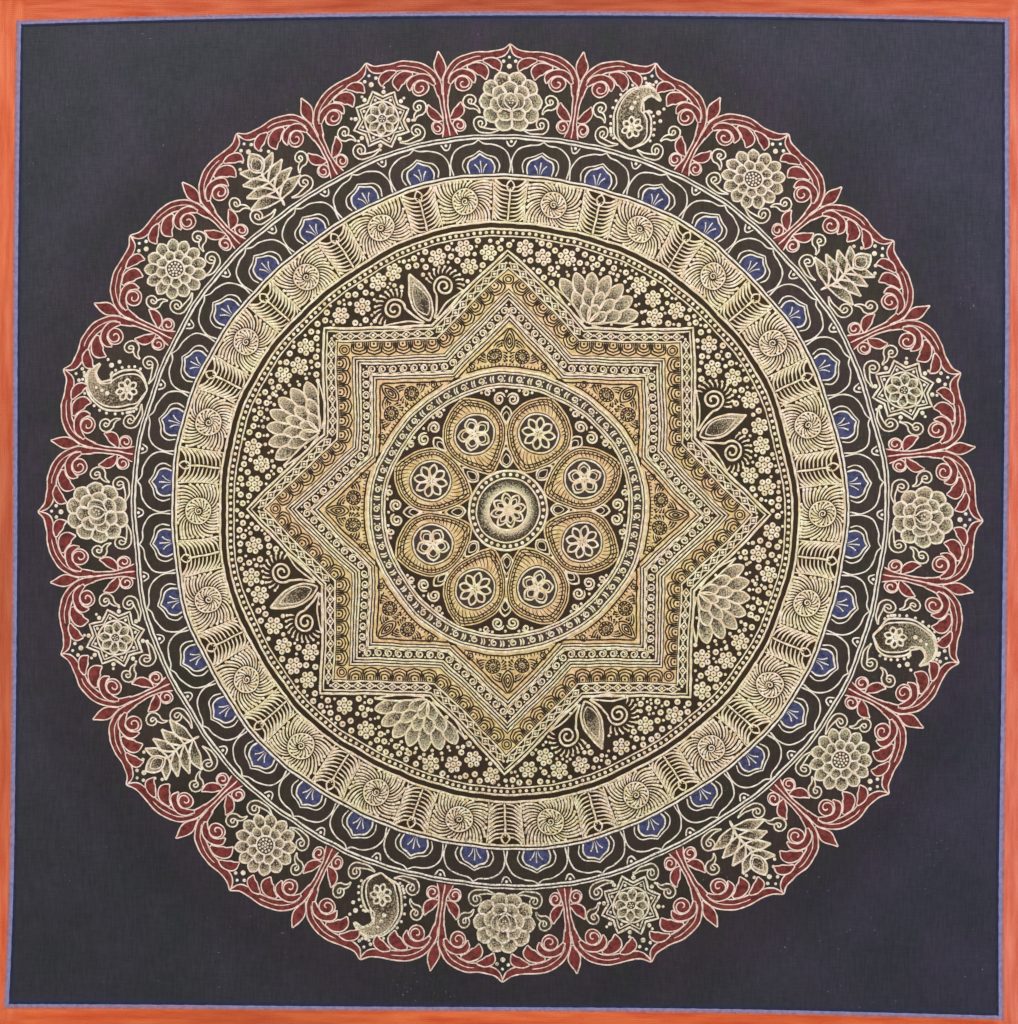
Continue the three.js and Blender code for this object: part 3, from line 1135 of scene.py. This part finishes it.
def drawnByHand(flat):
    flat = flat + drawingCentre
    pushed = flat.copy()
    for wavelength, heading, size, pushHeading, phase in handDrift:
        along = flat.real * np.cos(heading) + flat.imag * np.sin(heading)
        pushed = pushed + size * np.exp(1j * pushHeading) * np.sin(2 * pi * along / wavelength + phase)
    return pushed


def ribbonMesh(ribbons, place):
    flats, lifts, faces, base = [], [], [], 0
    for left, right, layer, thick, closed, _ in ribbons:
        count = len(left)
        low = layer * coat["step"] + coat["clear"]
        flats.append(place(np.stack([left, (left + right) / 2, right])).ravel())
        lifts.append(np.repeat([low, low + thick, low], count))
        leftRow, crestRow, rightRow = base + np.arange(3 * count).reshape(3, count)
        last = count if closed else count - 1
        here, there = np.arange(last), np.arange(1, last + 1) % count
        for a, b in ((rightRow, crestRow), (crestRow, leftRow), (leftRow, rightRow)):
            faces.extend(np.stack([a[here], a[there], b[there], b[here]], axis=1).tolist())
        if not closed:
            faces.append([rightRow[0], crestRow[0], leftRow[0]])
            faces.append([leftRow[-1], crestRow[-1], rightRow[-1]])
        base += 3 * count
    return flats, lifts, faces, base


def dotMesh(spots, place, base):
    flats, lifts, faces = [], [], []
    for centres, sizes, layer in spots:
        sides = 6 if sizes.max() < 0.3 else 9
        around = np.append(turns(sides), 0)
        crown = np.outer(np.minimum(0.1, 0.4 * sizes), np.arange(sides + 1) == sides)
        flats.append((place(centres)[:, None] + np.outer(sizes, around)).ravel())
        lifts.append((layer * coat["step"] + crown).ravel())
        index = base + np.arange(len(centres) * (sides + 1)).reshape(-1, sides + 1)
        for k in range(sides):
            faces.extend(index[:, [k, (k + 1) % sides, sides]].tolist())
        faces.extend(index[:, sides - 1 :: -1].tolist())
        base += index.size
    return flats, lifts, faces


def layOut(mesh, flat):  # a bake's map is the flat drawing itself, so no stroke is torn or squeezed
    corners = np.empty(len(mesh.loops), dtype=np.int32)
    mesh.loops.foreach_get("vertex_index", corners)
    spread = flat - complex(flat.real.min(), flat.imag.min())
    spread = spread / max(spread.real.max(), spread.imag.max())
    places = np.stack([spread.real, spread.imag], axis=1)[corners]
    mesh.uv_layers.new(name="OFBake").uv.foreach_set("vector", places.ravel().astype(np.float32))


def makePaint(name, finish):
    place = ruledSquare if name.startswith("ruled") else drawnByHand
    pot = paintPots[name]
    flats, lifts, faces, base = ribbonMesh(pot["ribbons"], place)
    dotFlats, dotLifts, dotFaces = dotMesh(pot["dots"], place, base)
    flat, faces = np.concatenate(flats + dotFlats), faces + dotFaces
    mesh = bpy.data.meshes.new(name)
    mesh.from_pydata(hang(flat, np.concatenate(lifts + dotLifts)), [], faces)
    layOut(mesh, flat)
    if name == stippledGold:
        gilding = np.concatenate([entry[-1].ravel() for entry in pot["ribbons"]])
        mesh.attributes.new("gilding", "FLOAT", "POINT").data.foreach_set("value", gilding)
    print("paint:", name, sum(len(face) - 2 for face in faces), "triangles")
    return newObject(mesh, finish)


paintOf = {  # what each piece is painted with
    "ruled_line_mauve": "thin blue over orange",
    "ruled_line_blue": "chalky blue",
    "ruled_line_navy": "dark blue",
    "crimson_leaves": "crimson lake",
    "rose_outlines": "gold over red",
    "blue_petals": "ultramarine",
    "black_grounds": "black distemper touch-up",
    "gold_grounds": "burnished shell gold",
    "gold_stipple": "stippled shell gold",
    "ink_engraving": "soot ink",
    "gold_bay_motifs": "shell gold with white",
    "gold_petal_ring": "pale shell gold",
    "gold_vine_ring": "shell gold",
    "gold_star": "shell gold",
    "gold_heart": "shell gold",
    "gold_field": "shell gold",
}
paintPieces = [makePaint(name, paintFinishes[paint]) for name, paint in paintOf.items()]

for piece in [sheet, *paintPieces]:
    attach(piece, "root")
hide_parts("painted_canvas")
print("pieces: done")

# Floor, light and camera
studio = {
    "floorDrop": 0.42,  # m below the top edge
    "floorSize": 6.0,
    "lamps": {  # place, size and power
        "key": ((-0.1, -0.95, 0.6), 0.9, 8.5),
        "fill": ((0.75, -1.15, 0.2), 0.8, 3.0),
        "back": ((0.5, 1.6, 1.1), 0.8, 20.0),
    },
    "overheadPower": 0.8,
    "overheadSpread": 60,
    "worldStrength": 0.3,
}
view = {
    "aim": Vector((0.0008, 0.0, -0.1506)),
    "azimuth": 1.455,
    "elevation": -0.08,
    "roll": 0.4,
    "distance": 0.5,
    "lens": 64.6,
}


def makeFloor():
    bm = bmesh.new()
    bmesh.ops.create_grid(bm, x_segments=8, y_segments=8, size=studio["floorSize"])
    bmesh.ops.translate(bm, verts=bm.verts, vec=(0, 0, -studio["floorDrop"]))
    mesh = bpy.data.meshes.new("floor")
    bm.to_mesh(mesh)
    bm.free()
    finish, add, shader, coords = startFinish("pale studio floor", Roughness=0.85)
    noise = add("TexNoise", {"Vector": coords, "Scale": 3.0})
    feed(shader, "Base Color", add("ValToRGB", {"Fac": noise}, stops=[(0.3, "#d9d7d3"), (0.7, "#e2e0dc")]))
    floor = newObject(mesh, finish)


def facing(data, place, roll=0.0):  # a lamp or camera that looks at the middle of the canvas
    holder = newObject(data)
    holder.location = place
    holder.rotation_mode = "QUATERNION"
    look = (view["aim"] - Vector(place)).to_track_quat("-Z", "Y")
    holder.rotation_quaternion = look @ Quaternion((0, 0, 1), radians(roll))
    return holder


def makeLights():
    for name, (place, size, power) in studio["lamps"].items():
        lamp = bpy.data.lights.new(name, "AREA")
        lamp.size = size
        lamp.energy = power
        facing(lamp, place)
    overhead = bpy.data.lights.new("overhead", "SUN")  # straight down, for an even floor
    overhead.energy = studio["overheadPower"]
    overhead.angle = radians(studio["overheadSpread"])
    newObject(overhead)
    world = bpy.data.worlds.new("studio")
    world.use_nodes = True
    world.node_tree.nodes["Background"].inputs["Color"].default_value = linear("#e8e8ea")
    world.node_tree.nodes["Background"].inputs["Strength"].default_value = studio["worldStrength"]
    bpy.context.scene.world = world


def makeCamera():
    camera = bpy.data.cameras.new("camera")
    camera.sensor_width = 36
    camera.lens = view["lens"]
    azimuth, elevation = radians(view["azimuth"]), radians(view["elevation"])
    level = cos(elevation)
    back = Vector((np.sin(azimuth) * level, -np.cos(azimuth) * level, np.sin(elevation)))
    bpy.context.scene.camera = facing(camera, view["aim"] + back * view["distance"], view["roll"])


makeFloor()
makeLights()
makeCamera()
bpy.context.scene.view_settings.view_transform = "Standard"
print("studio: done")
